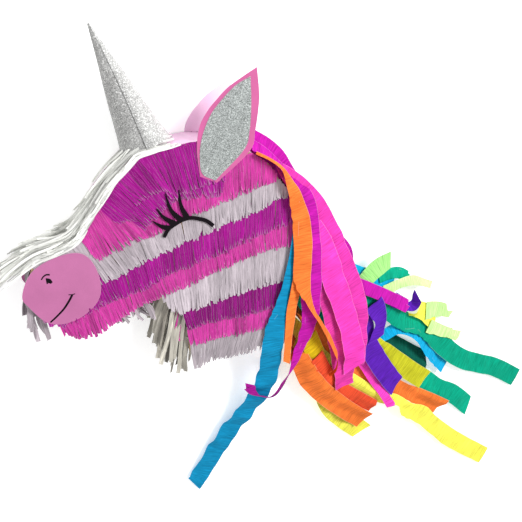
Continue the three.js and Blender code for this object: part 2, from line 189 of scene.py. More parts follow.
LASH_WIDTHS = (9.5, 1.2)
SMOOTH_DISC = smooth_line(DISC, 96, closed=True)


def stroke_outline(line, widths):
    """The outline of a flat stroke along a line, whose width runs between two values."""
    line = np.asarray(line, float)
    along = unit(np.gradient(line, axis=0))
    half = np.linspace(widths[0], widths[1], len(line))[:, None] / 2
    side = np.column_stack([-along[:, 1], along[:, 0]])
    return np.vstack([line - side * half, (line + side * half)[::-1]])


# ---- making meshes

class Stack:
    """Collects thin closed sheets into one mesh."""

    def __init__(self):
        self.points, self.faces, self.uvs, self.tones, self.edges = [], [], [], [], []
        self.count = 0

    def add(self, grid, thickness, tone=0.5, start=(0.0, 0.0)):
        """grid holds places by station and by share of the width; the sheet is closed all round."""
        stations, across = grid.shape[:2]
        size = stations * across
        normal = unit(np.cross(np.gradient(grid, axis=1), np.gradient(grid, axis=0)))
        index = np.arange(size).reshape(stations, across) + self.count
        corners = [index[:-1, :-1], index[:-1, 1:], index[1:, 1:], index[1:, :-1]]
        top = np.stack(corners, -1).reshape(-1, 4)
        rim = np.r_[index[0, :-1], index[:-1, -1], index[-1, :0:-1], index[:0:-1, 0]]
        after = np.roll(rim, -1)
        bottom = top[:, [0, 3, 2, 1]] + size
        self.faces += [top, bottom, np.column_stack([rim, rim + size, after + size, after])]
        v = travelled(grid[:, across // 2]) + start[1]
        u = np.linspace(0, length_of(grid[stations // 2]), across) + start[0]
        uv = np.stack(np.broadcast_arrays(u[None, :], v[:, None]), -1).reshape(-1, 2) * MM
        # Mask for the painted highlight along a sheet's long edges and its tip
        highlight_edge = np.abs(np.linspace(-1, 1, across))[None, :] ** 8 * np.ones((stations, 1))
        highlight_edge[-1] = np.maximum(highlight_edge[-1], TIP_HIGHLIGHT)
        for sign in (1, -1):
            self.points.append((grid + sign * normal * thickness / 2).reshape(-1, 3))
            self.uvs.append(uv)
            self.tones.append(np.broadcast_to(tone, (stations, across)).ravel())
            self.edges.append(highlight_edge.ravel())
        self.count += 2 * size

    def to_piece(self, name, look, replaced=(), sharp=40.0):
        points = np.vstack(self.points) * MM
        faces = np.vstack(self.faces)
        mesh = bpy.data.meshes.new(name)
        mesh.from_pydata(points.tolist(), [], faces.tolist())
        layer = mesh.uv_layers.new(name="UVMap")
        corners = np.zeros(len(mesh.loops), np.int32)
        mesh.loops.foreach_get("vertex_index", corners)
        layer.data.foreach_set("uv", np.vstack(self.uvs)[corners].astype(np.float32).ravel())
        for label, values in (("tone", self.tones), ("highlight_edge", self.edges)):
            attribute = mesh.attributes.new(label, "FLOAT", "POINT")
            attribute.data.foreach_set("value", np.concatenate(values).astype(np.float32))
        return finish_piece(name, mesh, [look], replaced, sharp)


def finish_piece(name, mesh, looks, replaced=(), sharp=40.0):
    """Smooth-shades a mesh, gives it its materials and says what it rides on and stands for."""
    mesh.validate()
    mesh.shade_smooth()
    mesh.set_sharp_from_angle(angle=math.radians(sharp))
    for look in looks:
        mesh.materials.append(LOOKS[look])
    piece = put(name, mesh)
    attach(piece, PINATA)
    if replaced:
        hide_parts(*replaced)
    return piece


def card_mesh(name, loop, low, high, bevel=0.15):
    """A flat card with softly rounded edges. Its caps use material 0 and its rim material 1."""
    loop = np.asarray(loop, float)
    count = len(loop)
    inner = grown(loop, -bevel)
    rings = [(inner, low), (loop, low + bevel), (loop, high - bevel), (inner, high)]
    points = np.vstack([np.column_stack([ring, np.full(count, z)]) for ring, z in rings])
    faces, kinds = [tuple(range(count))[::-1], tuple(range(3 * count, 4 * count))], [0, 0]
    for ring in range(3):
        for i in range(count):
            j = (i + 1) % count
            a, b = ring * count, (ring + 1) * count
            faces.append((a + i, a + j, b + j, b + i))
            kinds.append(1)
    mesh = bpy.data.meshes.new(name)
    mesh.from_pydata([tuple(p) for p in points * MM], [], faces)
    mesh.polygons.foreach_set("material_index", kinds)
    return mesh


# ---- materials

class Nodes:
    """A material's node tree, with short calls for the nodes used here. It becomes one of LOOKS."""

    def __init__(self, name, **values):
        material = LOOKS[name] = bpy.data.materials.new(name)
        material.use_nodes = True
        self.tree = material.node_tree
        self.shader = self.tree.nodes["Principled BSDF"]
        for key, value in values.items():
            self.shader.inputs[key.replace("_", " ")].default_value = value

    def node(self, kind, **settings):
        made = self.tree.nodes.new(kind)
        for key, value in settings.items():
            setattr(made, key, value)
        return made

    def link(self, source, target):
        self.tree.links.new(source, target)

    def place(self, source="Object", scale=(1, 1, 1)):
        """Texture coordinates in metres, stretched by a scale."""
        coordinates = self.node("ShaderNodeTexCoord")
        mapping = self.node("ShaderNodeMapping")
        mapping.inputs["Scale"].default_value = scale
        self.link(coordinates.outputs[source], mapping.inputs["Vector"])
        return mapping.outputs["Vector"]

    def noise(self, vector, scale, detail, roughness=0.55):
        noise = self.node("ShaderNodeTexNoise")
        noise.inputs["Scale"].default_value = scale
        noise.inputs["Detail"].default_value = detail
        noise.inputs["Roughness"].default_value = roughness
        self.link(vector, noise.inputs["Vector"])
        return noise.outputs["Fac"]

    def ramp(self, value, stops):
        """Turns a value into a colour or a number by stops of (place, colour or number)."""
        ramp = self.node("ShaderNodeValToRGB")
        elements = ramp.color_ramp.elements
        while len(elements) < len(stops):
            elements.new(0.5)
        for element, (place, colour) in zip(elements, stops):
            element.position = place
            rgb = (colour,) * 3 if np.isscalar(colour) else colour
            element.color = (*rgb, 1)
        self.link(value, ramp.inputs["Fac"])
        return ramp.outputs["Color"]

    def mix(self, a, b, share, how="MIX"):
        """Blends two colours; each may be a socket or a plain value."""
        mix = self.node("ShaderNodeMix", data_type="RGBA", blend_type=how)
        for socket, value in ((0, share), (6, a), (7, b)):
            if hasattr(value, "is_linked"):
                self.link(value, mix.inputs[socket])
            elif socket == 0:
                mix.inputs[socket].default_value = value
            else:
                mix.inputs[socket].default_value = (*value, 1)
        return mix.outputs[2]

    def vary(self, colour, value, stops, share=1.0):
        """Multiplies a colour by what a value's ramp gives."""
        return self.mix(colour, self.ramp(value, stops), share, "MULTIPLY")

    def by_tone(self, colour, deep, pale):
        """A colour that runs from deep to pale by the mesh's tone."""
        stops = [(0.0, shade(colour, deep)), (0.5, colour), (1.0, shade(colour, pale))]
        return self.ramp(self.attribute("tone"), stops)

    def attribute(self, name):
        return self.node("ShaderNodeAttribute", attribute_name=name).outputs["Fac"]

    def bump(self, height, strength, distance, under=None):
        bump = self.node("ShaderNodeBump")
        bump.inputs["Strength"].default_value = strength
        bump.inputs["Distance"].default_value = distance
        self.link(height, bump.inputs["Height"])
        if under is not None:
            self.link(under, bump.inputs["Normal"])
        return bump.outputs["Normal"]

    def finish(self, colour, normal=None, roughness=None):
        for value, name in ((colour, "Base Color"), (normal, "Normal"), (roughness, "Roughness")):
            if value is not None:
                self.link(value, self.shader.inputs[name])


def shade(colour, factor):
    return tuple(min(1.0, c * factor) for c in colour)


# How finely crepe's crinkles repeat across and along a sheet, per metre, by the way they run
CRINKLE_STRETCH = {"along": (1300, 60, 1), "across": (50, 950, 1)}
WIDE_CRINKLE = 0.4  # the broad crinkles' share of that
FLECK_SCALES = (1700.0, 850.0)  # flecks of glitter per metre, fine and coarse


def crepe(name, colour, lines, pale=1.25, deep=0.55):
    """Crinkled crepe paper. lines is "along" for fringe strands and "across" for streamers."""
    look = Nodes(name, Roughness=0.8, Specular_IOR_Level=0.06)
    stretch = CRINKLE_STRETCH[lines]
    fine = look.noise(look.place("UV", stretch), 1.0, 4.0, 0.6)
    wide = look.noise(look.place("UV", tuple(s * WIDE_CRINKLE for s in stretch)), 1.0, 2.0)
    patch = look.noise(look.place("Object"), 22.0, 2.0)
    shaded = look.by_tone(colour, deep, pale)
    # Painted shade and highlight: the colour is darker in the crinkles' hollows and paler on their ridges,
    # by the same noise as their bump
    shaded = look.vary(shaded, fine, [(0.3, 0.6), (0.5, 1.0), (0.72, 1.25)], 0.8)
    shaded = look.vary(shaded, wide, [(0.33, 0.72), (0.5, 1.0), (0.68, 1.2)], 0.8)
    shaded = look.vary(shaded, patch, [(0.35, 0.9), (0.65, 1.08)], 0.8)
    # Painted highlight: the long edges and the tip are mixed towards a paler colour, as if they caught the
    # light
    edge_highlight = look.ramp(look.attribute("highlight_edge"), [(0.8, 0.0), (1.0, 0.35)])
    shaded = look.mix(shaded, tuple(0.55 + 0.45 * c for c in colour), edge_highlight)
    normal = look.bump(wide, 0.35, 0.0012, look.bump(fine, 0.55, 0.0005))
    look.finish(shaded, normal, look.ramp(fine, [(0.2, 0.88), (0.8, 0.68)]))


def card(name, colour):
    """Smooth card: faint fibres, a little unevenness in its colour."""
    look = Nodes(name, Roughness=0.55, Specular_IOR_Level=0.15)
    fibre = look.noise(look.place("Object"), 1400.0, 4.0)
    cloud = look.noise(look.place("Object"), 28.0, 3.0)
    mottle = [(0.3, 0.94), (0.7, 1.06)]
    shaded = look.vary(look.vary(colour, cloud, mottle), fibre, mottle)
    normal = look.bump(cloud, 0.25, 0.002, look.bump(fibre, 0.12, 0.0002))
    look.finish(shaded, normal, look.ramp(fibre, [(0.3, 0.49), (0.7, 0.61)]))


def glitter(name, dark, light, painted_shade=1.0):
    """Fine glitter glued to paper, with painted glints: its flecks differ in brightness. Where its tone is 0
    it is painted darker, as painted shade.
    """
    look = Nodes(name, Roughness=0.6, Metallic=0.1, Specular_IOR_Level=0.25)
    place = look.place("Object")
    flecks = []
    for scale in FLECK_SCALES:
        cells = look.node("ShaderNodeTexVoronoi", feature="F1")
        cells.inputs["Scale"].default_value = scale
        look.link(place, cells.inputs["Vector"])
        split = look.node("ShaderNodeSeparateColor")
        look.link(cells.outputs["Color"], split.inputs["Color"])
        flecks.append(split.outputs["Red"])
    middle = tuple((a + b) / 2 for a, b in zip(dark, light))
    # Painted glints: the flecks get random brightness, some much paler, for flecks that catch the light
    shaded = look.ramp(flecks[0], [(0.0, dark), (0.6, middle), (1.0, light)])
    shaded = look.vary(shaded, flecks[1], [(0.0, 0.55), (0.5, 0.95), (0.85, 1.15), (1.0, 1.7)], 0.9)
    shaded = look.vary(shaded, look.noise(place, 40.0, 3.0), [(0.35, 0.93), (0.65, 1.05)])
    # Painted light and shade by the tone: darker where it is 0, a little paler where it is 1
    if painted_shade < 1:
        shaded = look.vary(shaded, look.attribute("tone"), [(0.0, painted_shade), (1.0, 1.08)])
    normal = look.bump(flecks[0], 0.35, 0.0003)
    look.finish(shaded, normal, look.ramp(flecks[0], [(0.0, 0.75), (1.0, 0.4)]))


def board(name, colour):
    """Brown corrugated board: fibres, and flutes that show where it is cut."""
    look = Nodes(name, Roughness=0.9, Specular_IOR_Level=0.2)
    place = look.place("Object")
    fibre = look.noise(look.place("Object", (1, 0.25, 1)), 1500.0, 4.0)
    cloud = look.noise(place, 18.0, 4.0)
    shaded = look.vary(colour, fibre, [(0.3, 0.8), (0.7, 1.15)])
    shaded = look.vary(shaded, cloud, [(0.3, 0.86), (0.7, 1.08)])
    flutes = look.node("ShaderNodeTexWave", wave_type="BANDS", bands_direction="X")
    flutes.inputs["Scale"].default_value = 55.0
    flutes.inputs["Distortion"].default_value = 0.4
    look.link(place, flutes.inputs["Vector"])
    normal = look.bump(flutes.outputs["Fac"], 0.18, 0.0004, look.bump(fibre, 0.2, 0.0003))
    look.finish(shaded, normal)


def tissue(name, colour):
    """Thin white tissue with soft creases."""
    look = Nodes(name, Roughness=0.7, Sheen_Weight=0.15, Specular_IOR_Level=0.25)
    crease = look.noise(look.place("UV", (300, 60, 1)), 1.0, 4.0)
    # Painted shade: the colour is darker in the creases' hollows, by the same noise as their bump
    shaded = look.vary(look.by_tone(colour, 0.5, 1.2), crease, [(0.3, 0.86), (0.7, 1.06)])
    look.finish(shaded, look.bump(crease, 0.5, 0.0008))


def ink(name):
    """Flat black, for card and for drawn lines."""
    look = Nodes(name, Roughness=0.7, Specular_IOR_Level=0.05)
    grain = look.noise(look.place("Object"), 900.0, 3.0)
    look.finish(look.ramp(grain, [(0.3, (0.003, 0.002, 0.003)), (0.7, (0.012, 0.008, 0.012))]))


MAGENTA = (0.310, 0.008, 0.220)
PINK = (0.500, 0.038, 0.280)
SILVER = (0.430, 0.375, 0.410)
crepe("crepe_magenta", MAGENTA, "along")
crepe("crepe_pink", PINK, "along")
crepe("crepe_silver", SILVER, "along", pale=1.3, deep=0.7)
card("disc_card", (0.460, 0.145, 0.310))
card("disc_rim", (0.700, 0.420, 0.560))
card("ear_card", (0.520, 0.110, 0.280))
card("ear_rim", (0.640, 0.380, 0.500))
# Painted light: the far ear is the same pink card as the near one, painted much paler for the strong light
# on it
card("far_ear_card", (0.960, 0.740, 0.920))
glitter("glitter_card", (0.14, 0.155, 0.15), (0.52, 0.55, 0.54))
ink("black_card")
ink("ink")
glitter("horn_glitter", (0.28, 0.28, 0.27), (0.80, 0.80, 0.79), painted_shade=0.72)
tissue("tissue", (0.800, 0.805, 0.770))
crepe("throat_paper", (0.560, 0.530, 0.460), "along", pale=1.6, deep=0.2)
card("crown_paper", (0.860, 0.590, 0.780))
board("board", (0.420, 0.290, 0.170))
card("tape", (0.640, 0.540, 0.330))
STREAMER_COLOURS = {
    "blue": (0.006, 0.250, 0.470), "orange": (0.830, 0.185, 0.035), "yellow": (0.800, 0.760, 0.090),
    "green": (0.002, 0.330, 0.200), "cyan": (0.004, 0.360, 0.620), "violet": (0.095, 0.014, 0.380),
    "olive": (0.500, 0.490, 0.020), "magenta": (0.440, 0.010, 0.320), "pink": (0.800, 0.050, 0.430),
    "sky": (0.006, 0.350, 0.620), "lime": (0.520, 0.800, 0.300), "red": (0.760, 0.080, 0.030),
    # shaded_green is the green ribbon's colour darkened, as painted shade
    "moss": (0.280, 0.600, 0.180), "shaded_green": (0.002, 0.090, 0.060), "gold": (0.620, 0.420, 0.010),
    "rose": (0.620, 0.040, 0.300),
}
for colour_name, colour_value in STREAMER_COLOURS.items():
    crepe(f"streamer_{colour_name}", colour_value, "across", deep=0.7)


def dress_nodes():
    """The CAD nodes that stay: board, tape and the paper over the crown."""
    for part in frame["record"]["subparts"]:
        if part["material_slot"] in ("board", "tape", "crown_paper"):
            mesh = frame["nodes"][part["node"]].data
            mesh.materials.clear()
            mesh.materials.append(LOOKS[part["material_slot"]])


# ---- fringe on the side panels

# Each row's strands by guides of (root x, root y, tip x, tip y), from the muzzle to the nape. A row's
# name ends with its colour.
ROWS = {
    "base_silver": [
        (-65, -128, -59, -184), (-48, -126, -50, -186), (-20, -124, -31, -175), (35, -122, 18, -179),
        (75, -120, 62, -171), (108, -118, 105, -172),
    ],
    "neck_pink": [
        (-66, -98, -63, -140), (-20, -92, -22, -137), (35, -91, 35, -136), (75, -87, 72, -133),
        (114, -84, 111, -130),
    ],
    "neck_magenta": [
        (-74, -70, -63, -111), (-45, -64, -42, -107), (-20, -58, -21, -104), (35, -52, 36, -104),
        (77, -45, 77, -99), (117, -40, 114, -95),
    ],
    "neck_silver": [
        (-101, -34, -100, -56), (-88, -30, -84, -78), (-62, -22, -60, -78), (-20, -5, -21, -71),
        (14, 4, 14, -63), (60, 18, 60, -57), (116, 25, 114, -52),
    ],
    "jaw_pink": [
        (-262, -42, -250, -80), (-238, -50, -228, -93), (-212, -40, -205, -92), (-195, -32, -183, -80),
        (-160, -22, -150, -62), (-122, -14, -110, -47), (-98, -4, -90, -41), (-64, 10, -62, -35),
        (-16, 22, -11, -15), (50, 44, 54, 3), (85, 54, 87, 8), (121, 54, 117, 12),
    ],
    "jaw_magenta": [
        (-290, -2, -274, -60), (-262, 8, -248, -66), (-225, 12, -208, -50), (-192, 8, -178, -39),
        (-163, 14, -154, -34), (-135, 24, -122, -26), (-100, 38, -98, -12), (-58, 52, -56, -1),
        (-15, 68, -13, 10), (20, 82, 18, 20), (60, 92, 57, 33), (95, 103, 92, 43), (114, 98, 115, 45),
    ],
    "cheek_silver": [
        (-280, 36, -264, 5), (-256, 44, -232, 3), (-236, 52, -208, -5), (-217, 62, -190, -9),
        (-198, 52, -166, -2), (-172, 52, -148, 6), (-145, 60, -128, 14), (-112, 68, -98, 25),
        (-72, 84, -66, 36), (-42, 94, -42, 43), (-12, 102, -12, 54), (30, 114, 28, 66),
        (64, 127, 62, 77), (88, 122, 86, 88), (108, 100, 105, 92),
    ],
    "brow_pink": [
        (-214, 66, -203, 50), (-206, 76, -191, 28), (-194, 93, -172, 37), (-181, 111, -145, 46),
        (-160, 100, -122, 53), (-124, 84, -112, 55), (-100, 98, -98, 58), (-75, 117, -72, 70),
        (-48, 120, -48, 79), (-20, 118, -20, 87), (2, 138, 4, 96), (24, 158, 26, 102),
        (45, 165, 45, 109), (66, 151, 64, 115), (86, 130, 84, 117),
    ],
    "crown_magenta": [
        (-186, 110, -158, 80), (-178, 121, -142, 84), (-171, 129, -119, 67), (-154, 148, -103, 82),
        (-136, 167, -88, 95), (-119, 176, -74, 104), (-90, 182, -57, 106), (-60, 186, -36, 106),
        (-32, 188, -18, 104), (0, 186, -5, 104), (5, 184, 1, 131),
    ],
}
# A second, shorter layer over most of the top row
TOP_LAYER = [
    (-160, 140, -128, 104), (-140, 160, -108, 118), (-118, 174, -88, 122), (-95, 179, -72, 112),
    (-66, 182, -52, 118), (-40, 185, -30, 122), (-10, 185, -10, 128),
]
STRAND_WIDTH = 1.12  # of the distance between neighbours
STRAND_PAPER = 0.16
PAPER_GAP = 0.12  # between the middle of a strand and the card or board it's pressed to
RAGGED = 1.3  # spread of the strands' lengths
ODD_SHARE = 0.12  # of strands that are cut short, and of those that curl up
BACKING_ROOT, ROW_ROOT, TOP_LAYER_ROOT = 76.45, 76.7, 77.3
BACKING_SHARE = 0.93  # of the row's length
FRINGE_SIDES = {"near": (3.0, 78.5, 100), "far": (5.0, 78.2, 150)}  # pitch, tips' height, first seed
SHADED_ROWS = {"base_silver": 0.2, "neck_magenta": 0.12, "neck_pink": 0.42}  # painted shade: a lower mean tone for the rows low on the neck, 0.5 elsewhere
# Outlines of the cards over the strands, with the height that the strands under them stay below
PRESSED = [
    (grown(SMOOTH_DISC, 2.0), 77.35), (grown(EAR, 2.0), 77.1),
    (grown(stroke_outline(smooth_line(EYELID, 12), (9, 9)), 1.0), 80.0),
    *[(grown(stroke_outline(lash, (9, 5)), 1.0), 80.0) for lash in LASHES],
]


def strand_grid(rng, root, tip, low, high, width, curl):
    """One fringe strand from its root to its tip, in places by station and share of the width."""
    root, tip = np.asarray(root, float), np.asarray(tip, float)
    length = np.linalg.norm(tip - root)
    along = unit(tip - root)
    side = np.array([-along[1], along[0]])
    t = np.linspace(0, 1, 8)
    s = np.linspace(-0.5, 0.5, 4)
    sway = rng.normal(0, 1) * np.sin(t * math.pi * rng.uniform(0.7, 1.3))
    ragged = rng.normal(0, 0.35) * 2 * s * t[:, None] ** 4 * width
    reach = t[:, None] * length + ragged
    offset = s[None, :] * width * (1 - 0.12 * t[:, None] ** 3) + sway[:, None]
    plan = root + reach[..., None] * along + offset[..., None] * side
    roll = rng.normal(0, 0.07) + rng.normal(0, 0.13) * t[:, None]
    arch = rng.normal(0.10, 0.12)
    lift = low + (high - low) * t[:, None] ** 1.25 + curl * t[:, None] ** 5
    lift = lift + s[None, :] * width * np.sin(roll) + arch * (1 - 4 * s[None, :] ** 2)
    lift = lift + 0.12 * np.sin(t[:, None] * 19 + rng.uniform(0, 6.3))
    return np.dstack([plan, lift])


def travel(guides):
    """How far along the row the middle of each guide lies."""
    return travelled(np.asarray(guides, float).reshape(-1, 2, 2).mean(1))


def between(guides, share):
    """The guide line at a share of the way through the guides."""
    along = travel(guides)
    return np.array([np.interp(share * along[-1], along, column) for column in np.transpose(guides)])


def press(grid):
    """Holds strands down where a card lies over them."""
    for loop, limit in PRESSED:
        covered = inside(loop, grid[..., 0], grid[..., 1])
        if covered.any():
            grid[..., 2] = np.where(covered, np.minimum(grid[..., 2], limit - PAPER_GAP), grid[..., 2])
    return grid


def add_row(stack, rng, guides, pitch, low, high, near, level=0.5):
    """A row of strands between guides, with tones that change from group to group."""
    count = int(travel(guides)[-1] / pitch)
    left_in_group = 0
    for i in range(count):
        if left_in_group == 0:
            group_tone = float(np.clip(rng.normal(level, 0.13), 0.05, 0.9))
            left_in_group = rng.integers(3, 10)
        left_in_group -= 1
        x0, y0, x1, y1 = between(guides, (i + rng.uniform(0.25, 0.75)) / count)
        way = np.array([x1 - x0, y1 - y0])
        along = unit(way)
        longer = rng.normal(0, RAGGED) + (rng.uniform(-5, 0) if rng.random() < ODD_SHARE else 0)
        spread = rng.normal(0, 0.022) * np.linalg.norm(way)
        tip = np.array([x1, y1]) + along * longer + np.array([-along[1], along[0]]) * spread
        width = STRAND_WIDTH * rng.uniform(0.85, 1.25) * pitch
        lifted = high + abs(rng.normal(0, 0.45))
        curl = rng.uniform(1.0, 3.5) if rng.random() < ODD_SHARE else 0.0
        grid = press(strand_grid(rng, (x0, y0), tip, low + rng.uniform(0, 0.25), lifted, width, curl))
        grid[..., 2] = np.maximum(grid[..., 2], PANEL_FACE + PAPER_GAP)
        if not near:
            grid[..., 2] = np.maximum(THICKNESS - grid[..., 2], 0.1)
            grid = grid[:, ::-1]
        tone = float(np.clip(group_tone + rng.normal(0, 0.09), 0, 1))
        stack.add(grid, STRAND_PAPER, tone, start=(rng.uniform(0, 400), rng.uniform(0, 400)))


def add_fringe():
    """Each row is a backing of wide strands under the row itself; the crown has a third layer."""
    for side, (pitch, high, seed) in FRINGE_SIDES.items():
        near = side == "near"
        for order, (name, guides) in enumerate(ROWS.items()):
            rng = np.random.default_rng(seed + order)
            stack = Stack()
            share = BACKING_SHARE
            backing = [(x0, y0, x0 + (x1 - x0) * share, y0 + (y1 - y0) * share) for x0, y0, x1, y1 in guides]
            level = SHADED_ROWS.get(name, 0.5)
            add_row(stack, rng, backing, pitch * 1.5, BACKING_ROOT, high - 0.9, near, level)
            add_row(stack, rng, guides, pitch, ROW_ROOT, high, near, level)
            if name == "crown_magenta":
                add_row(stack, rng, TOP_LAYER, pitch, TOP_LAYER_ROOT, high + 1.0, near)
            look = "crepe_" + name.split("_")[1]
            stack.to_piece(f"{side}_{name}_strands", look, [f"{side}_fringe_{name}"])


# ---- cards: muzzle, ears, lash

def flat(side, outer, inner):
    """Heights of a card from its depths below one side's outer face."""
    return (outer, inner) if side == "far" else (THICKNESS - inner, THICKNESS - outer)


EAR_CORNERS = [(54, 286), (-35, 137), (-10, 125)]
EAR_INSERT_CORNERS = [(44, 274), (-30, 140), (-12, 129)]
FAR_EAR_FOOT = (-37, 150)
FAR_EAR_SCALE = 0.84
FACE = {
    "nostril": [(-270, 12), (-267, 16), (-263, 18.5), (-258, 18)],
    "nostril_dot": [(-264, 9), (-262, 9), (-260, 8.5), (-257, 5)],
    "smile": [(-267, -56), (-258, -49), (-246, -38), (-237, -26), (-232, -18)],
    "smile_tick": [(-237, -17), (-232.5, -17.5), (-228, -17)],
}
FACE_WIDTHS = {
    "nostril": (1.6, 2.6), "nostril_dot": (9.5, 3.5), "smile": (2.6, 3.2), "smile_tick": (1.4, 1.4),
}


def add_cards():
    for side in ("far", "near"):
        disc = card_mesh(f"{side}_disc", SMOOTH_DISC, *flat(side, 0.0, 1.0))
        finish_piece(f"{side}_disc", disc, ["disc_card", "disc_rim"], [f"{side}_muzzle_disc"])
        # The far ear's card has a paler colour, as painted light
        ear_look = "ear_card" if side == "near" else "far_ear_card"
        ear_loop = placed_ear(EAR, EAR_CORNERS, side)
        ear = card_mesh(f"{side}_ear_card", ear_loop, *flat(side, 0.7, 1.4), bevel=0.12)
        finish_piece(f"{side}_ear_card", ear, [ear_look, "ear_rim"], [f"{side}_ear"])
        insert_loop = placed_ear(EAR_INSERT, EAR_INSERT_CORNERS, side)
        insert = card_mesh(f"{side}_ear_glitter", insert_loop, *flat(side, 0.1, 0.5), bevel=0.08)
        looks = ["glitter_card", "ear_rim"]
        finish_piece(f"{side}_ear_glitter", insert, looks, [f"{side}_ear_insert"])
        add_lash(side)
        add_face(side)


def placed_ear(loop, sharp, side):
    """A smooth loop through an outline's points that keeps some corners sharp; the far ear is shorter."""
    start = loop.index(sharp[0])
    ordered = loop[start:] + loop[:start + 1]
    corners = [i for i, point in enumerate(ordered) if point in sharp]
    runs = [smooth_line(ordered[a:b + 1], 8 * (b - a) + 1)[:-1] for a, b in zip(corners, corners[1:])]
    placed = np.vstack(runs)
    if side == "far":
        placed = np.array(FAR_EAR_FOOT) + (placed - FAR_EAR_FOOT) * FAR_EAR_SCALE
    return placed


def add_lash(side):
    """Eyelid and lashes, cut from one card."""
    low, high = flat(side, -1.9, -1.1) if side == "near" else flat(side, 0.0, 0.6)
    strokes = [stroke_outline(smooth_line(EYELID, 30), EYELID_WIDTHS)]
    strokes += [stroke_outline(smooth_line(lash, 14), LASH_WIDTHS) for lash in LASHES]
    for i, outline in enumerate(strokes):
        apart = 0.004 * i  # so that the faces of crossing strokes aren't in one plane
        mesh = card_mesh(f"{side}_lash_{i}", outline, low - apart, high + apart, bevel=0.1)
        name = f"{side}_eyelid" if i == 0 else f"{side}_lash_{i}"
        finish_piece(name, mesh, ["black_card"] * 2, [f"{side}_eyelash"] if i == 0 else [])


def add_face(side):
    """Nostril and smile, drawn on the muzzle disc."""
    low, high = flat(side, -0.12, 0.05) if side == "near" else flat(side, 0.02, 0.1)
    for name, line in FACE.items():
        outline = stroke_outline(smooth_line(line, 20), FACE_WIDTHS[name])
        mesh = card_mesh(f"{side}_{name}", outline, low, high, bevel=0.03)
        finish_piece(f"{side}_{name}", mesh, ["ink"] * 2)


# ---- horn

HORN_BASE = np.array([-104.2, 181.4, 39.5])
HORN_TILT = math.radians(110.8)
HORN_LENGTH = 173.0
HORN_RADIUS = 35.2
HORN_OVERLAP = 0.9  # how far round the sheet laps over itself, in radians
HORN_STEP = 2.2  # how far the lapped edge stands above the turn under it
HORN_EDGE = (math.radians(84), math.radians(100))  # where the outer edge lies, at the base and the tip
HORN_PAPER = 0.45


def add_horn():
    """A cone rolled from one sheet, whose outer edge slants from the base to the tip."""
    axis = np.array([math.cos(HORN_TILT), math.sin(HORN_TILT), 0.0])
    across = np.array([-axis[1], axis[0], 0.0])
    up = np.array([0.0, 0.0, 1.0])
    h = np.linspace(0, 1, 60)[:, None]
    s = np.linspace(0, 1, 120)[None, :]
    angle = HORN_EDGE[0] + (HORN_EDGE[1] - HORN_EDGE[0]) * h + s * (2 * math.pi + HORN_OVERLAP)
    radius = HORN_RADIUS * (1 - h) * (1 - 0.02 * np.sin(h * 9)) + 0.9
    radius = radius + HORN_STEP * (1 - s) * (0.35 + 0.65 * (1 - h))
    radius = radius + 0.25 * np.sin(3 * angle + 7 * h) * (1 - h)
    height = h * HORN_LENGTH + 2 * np.sin(angle + 0.6) * (1 - h) ** 6
    grid = (
        HORN_BASE + height[..., None] * axis
        + (radius * np.cos(angle))[..., None] * across + (radius * np.sin(angle))[..., None] * up
    )
    grid[..., 2] = np.clip(grid[..., 2], 0.5, THICKNESS + 3)
    # Painted light and shade: the tone is high on the horn's side towards the key light and low on the far
    # side, where its glitter is painted darker
    lit = 0.5 - 0.5 * np.tanh(2.5 * np.cos(angle - 0.3))
    stack = Stack()
    stack.add(grid[:, ::-1], HORN_PAPER, lit[:, ::-1])
    stack.to_piece("horn_roll", "horn_glitter", ["horn"])


# ---- loose strips: forelock, throat, jaw

def straight(root, tip):
    """Evenly spaced points from a root to a tip."""
    return np.linspace(root, tip, 12)


def loose_strip(rng, line, low, high, width, bend, roll, curl=0.0, waver=(0.8, 1.0), aside=0.0, hand=1):
    """A strip along a line in plan that may bow sideways, twist and curl at its end.

    waver is how much it wavers sideways and up, aside how far it lies off the line at each station,
    and hand -1 turns its sideways direction round.
    """
    t = np.linspace(0, 1, len(line))[:, None]
    s = np.linspace(-0.5, 0.5, 4)[None, :]
    way = unit(np.gradient(line, axis=0))
    side = hand * np.column_stack([-way[:, 1], way[:, 0]])
    turn = roll[0] + (roll[1] - roll[0]) * t
    sway = aside + bend * np.sin(math.pi * t) + rng.normal(0, waver[0]) * np.sin(2.3 * math.pi * t)
    offset = sway + s * width * np.cos(turn)
    plan = line[:, None, :] + offset[..., None] * side[:, None, :]
    lift = low + (high - low) * t + s * width * np.sin(turn) + curl * t ** 3
    lift = lift + rng.normal(0, waver[1]) * np.sin(3 * math.pi * t)
    return np.dstack([plan, np.broadcast_to(lift, plan.shape[:2])])


FORELOCK_LINE = (
    [(-62, 189), (-86, 183), (-119, 176)] + BROW[1:-1] + [(-272, 40), (-300, 22), (-324, 0), (-345, -24)]
)
BROW_LENGTH = 330.0  # about that of the line
FORELOCK_STRIPS = 460
FORELOCK_LIMIT = (-331, -60)  # no strip reaches past this to the left or down
TISSUE_PAPER = 0.14


def brow_stretch(brow, start, length, count):
    """Points along a stretch of the brow's line, from one share of it and of one length."""
    total = length_of(brow)
    at = np.clip(start + np.linspace(0, 1, count) * length / total, 0, 1) * (len(brow) - 1)
    return np.column_stack([np.interp(at, range(len(brow)), column) for column in brow.T])


